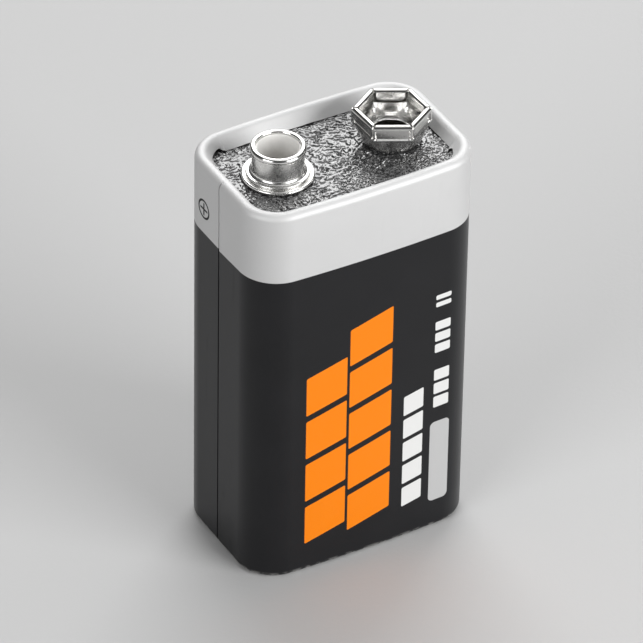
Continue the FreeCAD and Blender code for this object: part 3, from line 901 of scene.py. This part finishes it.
tinned = Finish("tinned_strip", Metallic=1.0)
spangle = tinned.node("TexVoronoi", inputs={"Vector": tinned.spot, "Scale": 1 / (1.2 * mm)})
rolling = tinned.grain(0.2, 3, (1, 0.1, 0.1))
tinned.coat(
    Base_Color=tinned.blend(spangle, tin_bright, tin_dull),
    Roughness=rolling * 0.2 + spangle * 0.1 + 0.3,
    Normal=tinned.relief(rolling, 0.006),
)
for node in ("positive_tab", "negative_strip", "positive_end_plate"):
    dress(node, tinned)


# The cards over and under the stack are punched from grey-brown board and dipped in wax. The base
# board is pressed from black fibre, and the jacket's foot is turned in under it.
def fibre_board(name, light, dark, gloss):
    """Board with flecks of fibre and a worn, slightly fuzzy face."""
    finish = Finish(name)
    fibres = finish.grain(0.25, 5, (1, 0.2, 1))
    patches = finish.grain(2.5, 3)
    finish.coat(
        Base_Color=finish.blend(fibres * 0.6 + patches * 0.4, dark, light),
        Roughness=gloss + fibres * 0.15,
        Normal=finish.relief(fibres + finish.grain(0.1, 2) * 0.5, 0.03),
    )
    return finish


waxed_card = fibre_board("waxed_card", (0.50, 0.42, 0.30), (0.36, 0.29, 0.20), 0.35)
dress("top_card", waxed_card)
dress("base_card", waxed_card)
dress("base_board", fibre_board("base_board", (0.045, 0.045, 0.045), (0.016, 0.016, 0.016), 0.6))


# The liner is a sleeve of brown waxed paper between the jacket and the stack. The six cells stand
# in one wrap of cloudy film, dipped in wax that seals their edges.
kraft = Finish("kraft_paper")
pulp = kraft.grain(0.3, 5, (1, 1, 0.15))
wax_patches = kraft.grain(4, 3)
kraft.coat(
    Base_Color=kraft.blend(pulp * 0.5 + wax_patches * 0.5, (0.34, 0.23, 0.13), (0.54, 0.40, 0.25)),
    Roughness=0.42 + pulp * 0.2 - wax_patches * 0.1,
    Normal=kraft.relief(pulp, 0.02),
)
dress("liner", kraft)

wax = Finish("wax_film", Subsurface_Weight=0.1, Subsurface_Radius=(0.0006, 0.0005, 0.0003))
drips = wax.grain(2.2, 4, (1, 1, 0.3))
wax.coat(
    Base_Color=wax.blend(drips, (0.50, 0.42, 0.30), (0.70, 0.64, 0.52)),
    Roughness=0.28 + drips * 0.25,
    Normal=wax.relief(drips, 0.08),
)
dress("stack_wrap", wax)


# Each of the six flat cells is a zinc plate with its carbon film, a tray of paste-coated paper and
# a pressed cake of black mix, all held in an envelope of plastic film that leaves both faces bare.
zinc = Finish("zinc", Metallic=0.9)
crystals = zinc.node("TexVoronoi", inputs={"Vector": zinc.spot, "Scale": 1 / (2.0 * mm)})
oxide = zinc.grain(0.8, 5).above(0.55, 0.2)
zinc.coat(
    Base_Color=zinc.blend(crystals * 0.5 + oxide * 0.5, (0.50, 0.52, 0.54), (0.34, 0.35, 0.36)),
    Roughness=0.4 + oxide * 0.2,
    Normal=zinc.relief(oxide, 0.01),
)

paste = Finish("paste_paper")
starch = paste.grain(0.5, 5)
paste.coat(
    Base_Color=paste.blend(starch, (0.62, 0.57, 0.46), (0.78, 0.75, 0.66)),
    Roughness=0.6 + starch * 0.25,
    Normal=paste.relief(starch, 0.03),
)

mix = Finish("mix")
powder = mix.grain(0.15, 5)
crumbs = mix.grain(0.6, 3)
mix.coat(
    Base_Color=mix.blend(powder * crumbs, (0.010, 0.010, 0.010), (0.05, 0.05, 0.052)),
    Roughness=0.65 + powder * 0.3,
    Normal=mix.relief(powder + crumbs, 0.05),
)

film = Finish("clear_film", IOR=1.45)
creasing = film.grain(1.4, 4, (1, 1, 0.4))
film.coat(
    Base_Color=film.blend(creasing, (0.60, 0.60, 0.55), (0.76, 0.76, 0.72)),
    Roughness=0.16 + creasing * 0.2,
    Normal=film.relief(creasing, 0.05),
)
for number in range(1, 7):
    for part, finish in (("zinc_plate", zinc), ("separator", paste), ("mix_cake", mix),
                         ("envelope", film)):
        dress("cell_%d_%s" % (number, part), finish)


# The battery stands on a plain pale floor that runs far past the view. A soft light stands behind
# it, a larger one hangs overhead, and a key light at the right front and a fill light at the left
# light its sides.
floor_reach, floor_gap = 3.0, 0.01
floor_pale = (0.52, 0.52, 0.52)
floor_bounce = (0.20, 0.20, 0.20)
floor_corners = [(side_x * floor_reach / mm, side_y * floor_reach / mm, -floor_gap)
                 for side_x, side_y in ((-1, -1), (1, -1), (1, 1), (-1, 1))]
floor = make_piece("floor", floor_corners, [(0, 1, 2, 3)])
mat = Finish("pale_floor")
mirrored = mat.node("LightPath", output="Is Glossy Ray")
seen = mat.node("LightPath", output="Is Camera Ray").math("MAXIMUM", mirrored)
weave = mat.grain(0.5, 4)
mat.coat(
    Base_Color=mat.blend(seen, floor_bounce, floor_pale),
    Roughness=0.75 + weave * 0.1,
    Normal=mat.relief(weave, 0.02),
)
floor.data.materials.append(mat.material)

lamp_aim = Vector((0, 0, 0.03))


def soft_light(name, direction, distance, width, height, power):
    """Rectangular lamp that looks at the object from a direction."""
    lamp = bpy.data.lights.new(name, "AREA")
    lamp.shape = "RECTANGLE"
    lamp.size = width
    lamp.size_y = height
    lamp.energy = power
    stand = bpy.data.objects.new(name, lamp)
    stand.location = lamp_aim + Vector(direction).normalized() * distance
    stand.rotation_mode = "QUATERNION"
    stand.rotation_quaternion = (lamp_aim - stand.location).to_track_quat("-Z", "Y")
    bpy.context.collection.objects.link(stand)


soft_light("back_softbox", (0.40, 0.69, 0.56), distance=0.7, width=0.60, height=0.52, power=3.8)
soft_light("overhead_softbox", (0.28, 0.15, 0.95), distance=0.8, width=0.9, height=0.9, power=2.3)
soft_light("key_light", (0.42, -0.85, 0.34), distance=0.6, width=0.40, height=0.40, power=3.8)
soft_light("fill_light", (-0.85, -0.30, 0.40), distance=0.9, width=0.5, height=0.5, power=3.9)

world = bpy.data.worlds.new("studio")
bpy.context.scene.world = world
world.use_nodes = True
ambient = world.node_tree.nodes["Background"].inputs
ambient["Color"].default_value = (0.8, 0.8, 0.8, 1)
ambient["Strength"].default_value = 0.08

camera_turn, camera_rise, camera_roll = (math.radians(angle) for angle in (-30.128, 36.965, 0.983))
camera_target = Vector((-0.730, 0.424, 23.552)) * mm
camera_distance = 0.626936
camera_lens = 350.07
back = Vector((math.sin(camera_turn) * math.cos(camera_rise),
               -math.cos(camera_turn) * math.cos(camera_rise), math.sin(camera_rise)))
across = Vector((math.cos(camera_turn), math.sin(camera_turn), 0))
upward = back.cross(across)
side = across * math.cos(camera_roll) + upward * math.sin(camera_roll)
top = upward * math.cos(camera_roll) - across * math.sin(camera_roll)
camera = bpy.data.objects.new("camera", bpy.data.cameras.new("camera"))
camera.data.lens = camera_lens
camera.data.clip_start = 0.01
camera.data.clip_end = 20
camera.rotation_mode = "QUATERNION"
camera.rotation_quaternion = Matrix((side, top, back)).transposed().to_quaternion()
camera.location = camera_target + back * camera_distance
bpy.context.collection.objects.link(camera)
bpy.context.scene.camera = camera
bpy.context.scene.view_settings.view_transform = "Standard"
